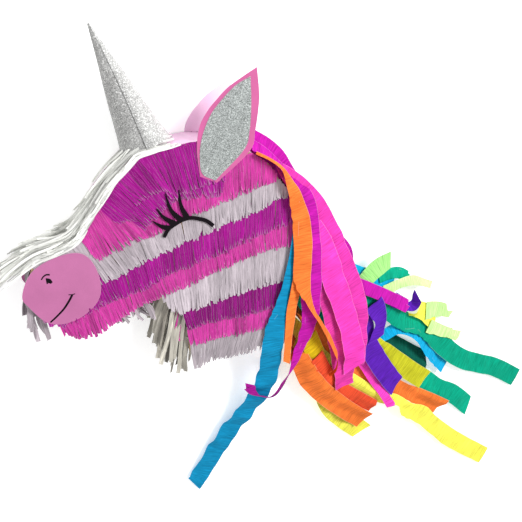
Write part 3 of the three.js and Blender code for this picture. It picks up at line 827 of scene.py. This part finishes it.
def add_forelock():
    """White tissue strips in overlapping bunches, from the horn's base along the brow."""
    rng = np.random.default_rng(31)
    brow = smooth_line(FORELOCK_LINE, 90)
    t = np.linspace(0, 1, 14)[:, None]
    stack = Stack()
    for i in range(FORELOCK_STRIPS):
        share = (i / FORELOCK_STRIPS) ** 0.95
        on_top = i % 3 == 0 and share < 0.7
        length = rng.uniform(50, 120)
        start = min(share * 0.93, 1 - length / BROW_LENGTH)
        away = rng.uniform(-3.5, 1.0) if on_top else rng.uniform(0, 8)
        drift = rng.uniform(0, 5) if on_top else rng.uniform(0, 9 + 12 * share)
        low = rng.uniform(79.5, 80.6) if on_top else rng.uniform(34, 78) - 12 * share
        high = np.clip(low + rng.normal(-3, 6), 6, 80.5)
        roll = (rng.normal(0.1, 0.3) if on_top else rng.normal(0.3, 0.5), rng.normal(0.1, 0.6))
        width = rng.uniform(1.8, 3.8)
        grid = loose_strip(
            rng, brow_stretch(brow, start, length, len(t)), low, high, width, rng.normal(0, 0.9), roll,
            waver=(0.5, 0.8), aside=away + drift * t ** 1.4, hand=-1,
        )
        grid[..., :2] = np.maximum(grid[..., :2], FORELOCK_LIMIT)
        grid[..., 2] = np.clip(grid[..., 2], 1, 82)
        tone = float(np.clip(rng.normal(0.62, 0.34), 0, 1))
        stack.add(grid, TISSUE_PAPER, tone, start=(i * 7.0, i * 13.0))
    stack.to_piece("forelock_strips", "tissue", ["forelock"])


# Paper on the walls that the fringe leaves in sight: name, look, first and last corner of the head
WALL_PAPERS = [
    ("crown_paper_sheet", "crown_paper", 8, 12), ("brow_paper_sheet", "tissue", 12, 18),
    ("muzzle_paper_sheet", "crepe_silver", 18, 21),
]


def add_wall_papers():
    """Thin paper wrapped over the walls, with a scalloped edge where it meets the near side panel."""
    ring = grown(HEAD, 1.9)
    for name, look, first, last in WALL_PAPERS:
        line = resample(ring[first:last + 1], 70)
        share = np.linspace(0, 1, 9)[None, :]
        along = np.linspace(0, 1, len(line))[:, None]
        top = PANEL_FACE + 1.1 + 0.9 * np.abs(np.sin(along * 52))
        ripple = 0.35 * np.sin(along * 60 + share * 5) * share
        outward = unit(line - line.mean(axis=0) * 0.6)
        plan = line[:, None, :] + outward[:, None, :] * ripple[..., None]
        stack = Stack()
        stack.add(np.dstack([plan, 2.0 + (top - 2.0) * share]), 0.3)
        stack.to_piece(name, look)


# Fringe on the walls of the muzzle, jaw and throat: name, look, CAD nodes it stands for, guides, the
# lowest and highest root, number of strips and their widths
WALL_FRINGES = [
    ("muzzle_fringe_strands", "crepe_silver", ["muzzle_fringe"],
     [(-294, -14, -300, -52), (-291, -24, -294, -82), (-286, -32, -285, -100), (-280, -40, -276, -100)],
     (30, 72), 13, (6.0, 8.5)),
    ("jaw_fringe_strands", "crepe_silver", ["jaw_fringe"],
     [(-258, -61, -250, -88), (-226, -60, -208, -94), (-181, -46, -154, -88), (-150, -45, -124, -92),
      (-122, -44, -108, -90)],
     (14, 72), 70, (3.5, 6.5)),
    ("throat_fringe_strands", "throat_paper", ["throat_fringe"],
     [(-96, -54, -118, -128), (-84, -58, -110, -158), (-72, -68, -98, -188), (-66, -100, -76, -190),
      (-66, -140, -70, -192)],
     (12, 72), 64, (5.0, 9.0)),
]
PINK_THROAT = [(-84, -60, -96, -118), (-74, -68, -84, -128), (-67, -90, -74, -138)]
PINK_STRANDS = 16


def add_wall_fringes():
    for order, (name, look, replaced, guides, heights, count, widths) in enumerate(WALL_FRINGES):
        rng = np.random.default_rng(60 + order)
        stack = Stack()
        for i in range(count):
            x0, y0, x1, y1 = between(guides, rng.random())
            low = rng.uniform(*heights)
            stretch = rng.uniform(0.75, 1.05)
            tip = (x0 + (x1 - x0) * stretch + rng.normal(0, 3), y0 + (y1 - y0) * stretch)
            grid = loose_strip(
                rng, straight((x0, y0), tip), low, np.clip(low + rng.normal(0, 7), 5, 76),
                rng.uniform(*widths), rng.normal(0, 2.5), (rng.normal(0, 0.5), rng.normal(0, 0.7)),
                rng.normal(0, 3),
            )
            grid[..., 2] = np.clip(grid[..., 2], 1.5, 77)
            tone = float(np.clip(rng.normal(0.42, 0.22), 0, 1))
            stack.add(grid, STRAND_PAPER, tone, start=(i * 11.0, i * 17.0))
        stack.to_piece(name, look, replaced)
    rng = np.random.default_rng(70)
    stack = Stack()
    for i in range(PINK_STRANDS):
        x0, y0, x1, y1 = between(PINK_THROAT, rng.random())
        low = rng.uniform(56, 74)
        grid = loose_strip(
            rng, straight((x0, y0), (x1 + rng.normal(0, 3), y1)), low, low + rng.normal(0, 3),
            rng.uniform(4, 7), rng.normal(0, 2), (rng.normal(0, 0.4), rng.normal(0, 0.5)),
        )
        grid[..., 2] = np.clip(grid[..., 2], 1.5, 77.5)
        tone = float(np.clip(rng.normal(0.6, 0.15), 0, 1))
        stack.add(grid, STRAND_PAPER, tone, start=(i * 11.0, i * 17.0))
    stack.to_piece("throat_pink_strands", "crepe_pink")


# ---- streamers

class Ground:
    """How high things already lie, in square cells of the surface."""

    cell = 3.0

    def __init__(self):
        self.low = np.array([-420.0, -800.0])
        self.heights = np.zeros((420, 420))
        places = self.low + (np.indices(self.heights.shape).reshape(2, -1).T + 0.5) * self.cell
        self.head = inside(grown(HEAD, 1.0), places[:, 0], places[:, 1]).reshape(self.heights.shape)

    def index(self, grid):
        cells = ((grid[..., :2] - self.low) / self.cell).astype(int)
        return np.moveaxis(np.clip(cells, 1, len(self.heights) - 2), -1, 0)

    def at(self, grid, over_head):
        """The height to lie on under each point, from its own cell and those around it."""
        i, j = self.index(grid)
        around = [self.heights[i + di, j + dj] for di in (-1, 0, 1) for dj in (-1, 0, 1)]
        found = np.max(around, axis=0)
        if over_head:
            found = np.where(self.head[i, j], np.maximum(found, THICKNESS + 1.5), found)
        return found

    def lay(self, grid):
        i, j = self.index(grid)
        np.maximum.at(self.heights, (i, j), grid[..., 2])


STREAMER_WIDTH = 44.0
STREAMER_PAPER = 0.25
STEP = 2.6  # between the stations along a streamer
ACROSS = 13  # points across it
CLEARANCE = 0.6  # kept above what it lies on
TUCK_DEPTH = 0.9  # how far a folded-under edge lies below the rest of its streamer
MOST_LIFT = 22.0  # the furthest that a route is raised over what lies there
HIGHEST = 92.5  # no streamer rises above this
WAVINESS = 0.6
SKEWED_END = 30.0  # the stretch that a slanting cut affects


def streamer_grid(rng, route, skew):
    """Places over a streamer from its route, and the depths of its tucked edge.

    The route's points are (x, y, z, roll in degrees, fold). A fold above 0 is the angle of a crease
    along the middle. A fold below 0 is the percentage of the width that is folded under.
    """
    line = smooth_line(route, max(24, int(length_of(route) / STEP)))
    stations = len(line)
    centre = blur(line[:, :3], 2)
    centre[0], centre[-1] = line[0, :3], line[-1, :3]
    along = unit(np.gradient(centre, axis=0))
    side = unit(blur(unit(np.cross(along, (0, 0, 1.0))), 3))
    up = np.cross(side, along)
    roll = np.radians(line[:, 3])[:, None]
    fold = np.radians(np.clip(line[:, 4], 0, None))[:, None]
    tuck = np.clip(-line[:, 4], 0, 50)[:, None] / 100
    flat_side = np.cos(roll) * side + np.sin(roll) * up
    flat_up = -np.sin(roll) * side + np.cos(roll) * up
    v = np.arange(stations)[:, None] * STEP
    s = np.linspace(-1, 1, ACROSS)[None, :]
    half = STREAMER_WIDTH / 2
    crease = np.sqrt(s ** 2 + 0.03) - 0.17
    under = np.clip(s - (1 - 2 * tuck), 0, None)
    out = (s - 2 * under + tuck) * half * np.cos(fold)
    rise = crease * half * np.sin(fold)
    phase = rng.uniform(0, 2 * math.pi, 5)
    wave = 2.2 * np.sin(v / rng.uniform(14, 20) + phase[0]) * (0.35 + 0.65 * s * np.sin(v / 37 + phase[1]))
    wave = wave + 1.6 * s * np.sin(v / rng.uniform(8, 12) + phase[2] + s)
    wave = wave + 1.0 * np.sin(v / 6.3 + 2 * s + phase[3]) * np.abs(s)
    crinkle = blur(rng.normal(0, 1, (stations, 1)), 1) * 0.45
    crinkle = crinkle * (0.6 + 0.4 * np.sin(3 * s + v / 9 + phase[4]))
    knots = np.cumsum(rng.uniform(16, 44, 60))
    heights = rng.uniform(0.8, 2.8, 60) * (-1.0) ** np.arange(60)
    creases = np.interp(v + 8 * s * np.sin(v / 60 + phase[4]), knots, heights)
    rise = rise + ((wave + crinkle) * WAVINESS + creases) * (1 - 1.6 * tuck)
    near_end = np.clip(1 - (v[-1] - v) / SKEWED_END, 0, 1)
    further = skew * s * near_end ** 1.5
    grid = (
        centre[:, None, :] + out[..., None] * flat_side[:, None, :] + rise[..., None] * flat_up[:, None, :]
        + further[..., None] * along[:, None, :]
    )
    return grid, TUCK_DEPTH * np.clip(under / 0.12, 0, 1)


def widest(values, reach, axis):
    """The largest value within a reach on either side."""
    found = values
    for shift in range(1, reach + 1):
        moved = np.moveaxis(values, axis, 0)
        before = np.concatenate([moved[:1].repeat(shift, 0), moved[:-shift]])
        after = np.concatenate([moved[shift:], moved[-1:].repeat(shift, 0)])
        found = np.maximum(found, np.moveaxis(np.maximum(before, after), 0, axis))
    return found


def settle(grid, ground, over_head, free):
    """Drapes a streamer over what lies under it."""
    need = np.clip(ground.at(grid, over_head) + CLEARANCE - grid[..., 2], 0, MOST_LIFT)
    if free:
        need *= np.clip((np.arange(len(need)) - free) / 8, 0, 1)[:, None]
    eased = blur(widest(need, 4, 0), 5)
    eased = blur(widest(eased, 2, 1).T, 2).T
    grid[..., 2] += np.maximum(eased, need)
    grid[..., 2] = np.clip(grid[..., 2], 0.4 + TUCK_DEPTH, HIGHEST)
    return grid


# Streamers from the lowest to the topmost: name, colour, whether the CAD has it too, whether it lies
# over the panel, how far its end is cut askew, and its route (see streamer_grid; the fold may be left out)
STREAMERS = [
    ("magenta_root", "magenta", False, False, 0,
     [(50, 176, 50, 20), (82, 156, 54, 20), (106, 124, 56, 20), (124, 84, 56, 20), (136, 36, 54, 20),
      (146, -10, 48, 30)]),
    ("cyan", "cyan", True, False, 6,
     [(112, 40, 30, 90), (165, 0, 34, 60, -30), (235, -60, 40, 30, -45), (290, -93, 42, 15, -30),
      (324, -105, 40, 10, -22), (352, -120, 32, 12, -22)]),
    ("teal_top", "green", False, False, 4,
     [(309, -97, 36, 20, -45), (335, -94, 34, 20, -45), (362, -100, 30, 20, -45),
      (387, -116, 26, 20, -45)]),
    ("lime_top", "moss", False, False, -8,
     [(275, -98, 44, 15, -20), (289, -83, 46, 15, -25), (309, -70, 46, 15, -25), (330, -65, 43, 15, -28)]),
    ("lime_right", "lime", False, False, 20,
     [(321, -126, 38, 20, -40), (355, -119, 36, 30, -45), (397, -121, 30, 45, -50),
      (440, -139, 24, 60, -50)]),
    ("green_short", "green", True, False, 10,
     [(118, -60, 30, 90), (150, -110, 30, 60), (230, -200, 26, 10, 5), (330, -275, 24, 10),
      (410, -330, 22, 8), (458, -369, 18, 8), (502, -407, 14, 12, 12), (552, -438, 12, 5),
      (613, -494, 4, 6)]),
    ("orange_right", "orange", True, False, -6,
     [(117, -80, 34, 90), (150, -140, 30, 60), (230, -240, 26, 10, 5), (336, -335, 24, 10),
      (384, -371, 22, 8, -10), (423, -394, 20, 20, -15), (473, -428, 14, 8), (525, -466, 7, 6)]),
    ("yellow_long", "yellow", True, False, 0,
     [(115, -100, 34, 90), (140, -165, 30, 60), (220, -280, 24, 10, 5), (327, -370, 18, 20, -25),
      (351, -386, 20, 30, -30), (374, -395, 24, 20, -30), (399, -407, 26, 40, -40),
      (425, -440, 20, 10, -15), (466, -467, 16, 8), (504, -507, 12, 10, -8), (556, -559, 9, 6),
      (611, -605, 7, 8), (689, -665, 4, 5)]),
    # Painted shade: a green ribbon with its colour darkened for the shade it lies in
    ("green_dark", "shaded_green", False, False, 8,
     [(331, -251, 16, 40), (358, -256, 18, 40), (395, -285, 12, 20), (432, -312, 8, 10),
      (468, -335, 4, 5)]),
    ("turquoise", "sky", True, False, 4,
     [(120, 0, 34, 90), (170, -80, 34, 60, -30), (270, -190, 34, 30, -50), (325, -228, 36, 40, -50),
      (361, -217, 40, 45, -50), (394, -229, 40, 40, -50), (427, -257, 32, 30, -45),
      (467, -304, 22, 20, -30), (523, -356, 9, 8, -5)]),
    ("green_long", "green", True, False, 2,
     [(119, 30, 36, 90), (165, -20, 38, 60), (254, -116, 42, 10), (303, -148, 40, 8),
      (343, -174, 36, 8, -5), (376, -201, 32, 10, -12), (412, -223, 28, 28, -25), (443, -241, 26, 10, -12),
      (477, -272, 22, 6), (523, -317, 18, 8), (569, -351, 14, 12), (620, -375, 12, 12), (673, -400, 9, 6),
      (746, -448, 5, 6)]),
    ("olive", "olive", True, False, -4,
     [(120, -30, 40, 90), (160, -90, 38, 60), (230, -160, 38, 20, -20), (300, -222, 34, 20, -40),
      (332, -255, 32, 12, -25), (389, -312, 26, 8), (464, -374, 14, 6)]),
    ("violet_tip", "violet", False, False, 16,
     [(349, -151, 38, 10, -30), (375, -166, 38, 20, -40), (396, -174, 38, 40, -50),
      (401, -158, 42, 60, -50)]),
    ("yellow_right", "yellow", False, False, 10,
     [(402, -180, 26, 15, -10), (425, -193, 28, 20, -15), (448, -211, 24, 15, -10),
      (470, -230, 16, 8, -10)]),
    ("lime_upper", "lime", False, False, 14,
     [(438, -198, 22, 10, -10), (462, -201, 22, 10, -20), (507, -216, 16, 10, -35)]),
    ("lime_lower", "lime", False, False, 16,
     [(447, -233, 16, 10, -30), (481, -252, 14, 10, -40), (540, -284, 6, 10, -50)]),
    ("magenta_back", "magenta", True, False, 4,
     [(112, 75, 50, 90), (160, 45, 52, 60), (215, -20, 56, 15), (241, -85, 54, 10, -30),
      (279, -109, 52, 10, -36), (328, -137, 46, 10, -38), (382, -171, 36, 8, -38)]),
    ("yellow_low", "yellow", True, False, -12,
     [(112, -115, 40, 90), (130, -165, 38, 60), (165, -220, 32, 20), (202, -291, 24, 15),
      (234, -379, 12, 8), (276, -433, 6, 8), (325, -482, 3, 5)]),
    ("gold", "gold", False, False, 6,
     [(163, -190, 36, 20), (182, -233, 32, 15, -10), (197, -278, 28, 12, -15), (216, -324, 20, 10, -20)]),
    ("red", "red", False, False, 8,
     [(181, -232, 38, 30, -20), (211, -287, 32, 20, -20), (250, -337, 25, 15, -20),
      (294, -373, 18, 10, -22), (339, -409, 12, 8, -25)]),
    ("orange_low", "orange", True, False, -8,
     [(110, -130, 44, 90), (128, -159, 46, 60, -30), (139, -198, 44, 40, -20), (151, -239, 38, 20, -8),
      (176, -288, 32, 12), (215, -339, 26, 10), (269, -396, 16, 8), (326, -449, 7, 6)]),
    ("pink_tip", "pink", False, False, 18,
     [(276, -235, 36, 15, -30), (297, -283, 32, 20, -36), (334, -344, 24, 20, -44),
      (370, -402, 16, 20, -50)]),
    ("violet", "violet", True, False, 4,
     [(118, 20, 42, 90), (160, -40, 42, 60), (235, -140, 46, 15), (280, -191, 48, 10),
      (293, -231, 47, 8, -4), (322, -278, 43, 8), (353, -323, 36, 6), (383, -362, 28, 6)]),
    ("violet_fold", "violet", False, False, 10,
     [(294, -143, 50, 15), (309, -167, 50, 20, -10), (318, -191, 49, 20, -20), (310, -226, 46, 15, -10)]),
    ("pink_back", "pink", True, False, 6,
     [(86, 148, 64, 85, -50), (99, 132, 72, 40, -40), (123, 106, 78, 10, -20), (150, 70, 78, 6),
      (176, 31, 76, 6), (203, -21, 71, 8), (226, -64, 66, 8), (251, -118, 58, 8), (262, -171, 52, 8),
      (265, -227, 44, 8), (266, -283, 38, 8)]),
    ("pink_low", "rose", False, False, -4,
     [(164, 10, 74, 10), (179, -42, 70, 10), (194, -98, 65, 10), (210, -151, 58, 12), (226, -207, 50, 10),
      (243, -267, 42, 8), (256, -328, 35, 6)]),
    ("pink_front", "pink", True, False, 10,
     [(98, 115, 60, 90), (128, 80, 72, 40, -30), (152, 35, 77, 10, -20), (174, -8, 77, 10, -10),
      (188, -48, 75, 10), (210, -98, 71, 8), (232, -148, 65, 8), (250, -202, 57, 8), (261, -244, 50, 8),
      (265, -278, 45, 8)]),
    ("blue", "blue", True, True, -10,
     [(123, 30, 82, 10, -50), (119, 1, 82.5, 10, -50), (115, -21, 82.5, 10, -50), (108, -44, 82.5, 20, -50),
      (100, -71, 83, 20, -45), (93, -103, 83, 8, -35), (84, -132, 83, 0, -18), (80, -170, 82, 0, -8),
      (81, -229, 62, 0, -4), (74, -280, 48, 4), (49, -336, 26, 8), (6, -403, 12, 8), (-33, -469, 6, 6),
      (-53, -497, 4, 5)]),
    ("orange_short", "orange", False, True, 20,
     [(126, 7, 84, 5, -45), (125, -37, 84, 10, -45), (119, -76, 83, 15, -48), (114, -115, 80, 15, -50),
      (112, -163, 75, 20, -50), (113, -210, 70, 30, -50)]),
    ("magenta_front", "magenta", True, True, 8,
     [(52, 173, 62, 60, -30), (74, 160, 66, 60, -40), (94, 142, 70, 60, -50), (105, 128, 74, 60, -50),
      (122, 109, 79, 30, -40), (134, 84, 82, 8, -25), (139, 50, 83, 5, -10), (143, 4, 83, 5, -6),
      (147, -45, 82, 5, -6), (152, -90, 79, 5, -8), (152, -153, 71, 10, -22), (137, -214, 60, 25, -38),
      (121, -271, 49, 60, -50), (96, -301, 42, 70, -50), (67, -291, 38, 65, -50), (54, -279, 38, 50, -50),
      (46, -262, 40, 40, -40)]),
    ("orange_front", "orange", True, True, 4,
     [(51, 165, 66, 80, -50), (72, 154, 70, 80, -50), (93, 138, 76, 72, -50), (103, 117, 82, 50, -50),
      (111, 98, 85, 20, -46), (119, 76, 86, 5, -38), (126, 47, 86, 0, -26), (129, 20, 86, 0, -22),
      (129, -10, 86, 0, -22), (129, -40, 86, 0, -22), (134, -68, 86, 15, -36), (146, -97, 84, 50, -50),
      (159, -124, 78, 68, -50), (177, -152, 73, 66, -50), (197, -187, 66, 60, -50),
      (214, -219, 60, 60, -50), (224, -246, 56, 66, -50), (223, -271, 50, 72, -50),
      (212, -280, 46, 76, -50)]),
]
ROOT_LENGTH = 90.0  # the stretch by the nape where streamers cross on edge and aren't stacked


def apart(line, other):
    """Smallest distance in plan between the points of two lines."""
    return np.linalg.norm(line[:, None, :] - other[None, :, :], axis=2).min()


def add_streamers():
    """Ribbons from the lowest to the topmost, each laid on what is there. It rests on what it crosses."""
    ground = Ground()
    nape = smooth_line(NAPE, 60)
    laid = []
    for order, (name, colour, in_cad, over, skew, route) in enumerate(STREAMERS):
        rng = np.random.default_rng(200 + order)
        route = [(*point, 0)[:5] for point in route]
        grid, tucked = streamer_grid(rng, route, skew)
        free = int(ROOT_LENGTH / STEP) if route[0][3] >= 85 and not over else 0
        grid = settle(grid, ground, over, free)
        ground.lay(grid[free:])
        grid[..., 2] -= tucked
        stack = Stack()
        stack.add(grid, STREAMER_PAPER, float(rng.uniform(0.3, 0.7)), start=(order * 97.0, order * 131.0))
        replaced = [f"streamer_{name}"] if in_cad else []
        piece = stack.to_piece(f"ribbon_{name}", f"streamer_{colour}", replaced, sharp=60)
        middle = grid[:, ACROSS // 2, :2]
        rests = [other for other, line in laid if apart(middle, line) < STREAMER_WIDTH / 2]
        if apart(middle, nape) < STREAMER_WIDTH / 2:
            rests.append("near_side_panel" if over else "nape_wall")
        laid.append((f"ribbon_{name}", middle))


# ---- floor and light

FLOOR_REACH = 6.0  # metres, like its height
FLOOR_HEIGHT = -0.0004  # so that nothing lies in the floor's own plane
FLOOR_GLOW = 0.4
WORLD_STRENGTH = 0.6
LIGHT_AIM = Vector((0.05, -0.05, 0.0))  # metres


def add_floor():
    reach = FLOOR_REACH
    corners = [(-reach, -reach), (reach, -reach), (reach, reach), (-reach, reach)]
    mesh = bpy.data.meshes.new("floor")
    mesh.from_pydata([(x, y, FLOOR_HEIGHT) for x, y in corners], [], [(0, 1, 2, 3)])
    glow = {"Emission_Color": (1, 1, 1, 1), "Emission_Strength": FLOOR_GLOW}
    look = Nodes("floor", Roughness=0.9, Specular_IOR_Level=0.2, **glow)
    look.finish(look.ramp(look.noise(look.place(), 3.0, 2.0), [(0.2, 0.9), (0.8, 0.93)]))
    mesh.materials.append(LOOKS["floor"])
    put("floor", mesh)


def add_light(name, place, size, power):
    """A round soft light that shines at the head's middle."""
    data = bpy.data.lights.new(name, "AREA")
    data.shape = "DISK"
    data.size = size
    data.energy = power
    light = put(name, data)
    light.location = place
    light.rotation_euler = (LIGHT_AIM - Vector(place)).to_track_quat("-Z", "Y").to_euler()


def light_scene():
    world = bpy.data.worlds.new("studio")
    world.use_nodes = True
    background = world.node_tree.nodes["Background"]
    background.inputs["Color"].default_value = (1.0, 1.0, 1.0, 1)
    background.inputs["Strength"].default_value = WORLD_STRENGTH
    bpy.context.scene.world = world
    add_light("key", (1.3, 1.1, 1.9), size=1.1, power=62)
    add_light("fill", (-1.6, -0.6, 1.7), size=1.8, power=12)
    bpy.context.scene.view_settings.view_transform = "Standard"


dress_nodes()
add_fringe()
add_cards()
add_horn()
add_forelock()
add_wall_papers()
add_wall_fringes()
add_streamers()
add_floor()
light_scene()
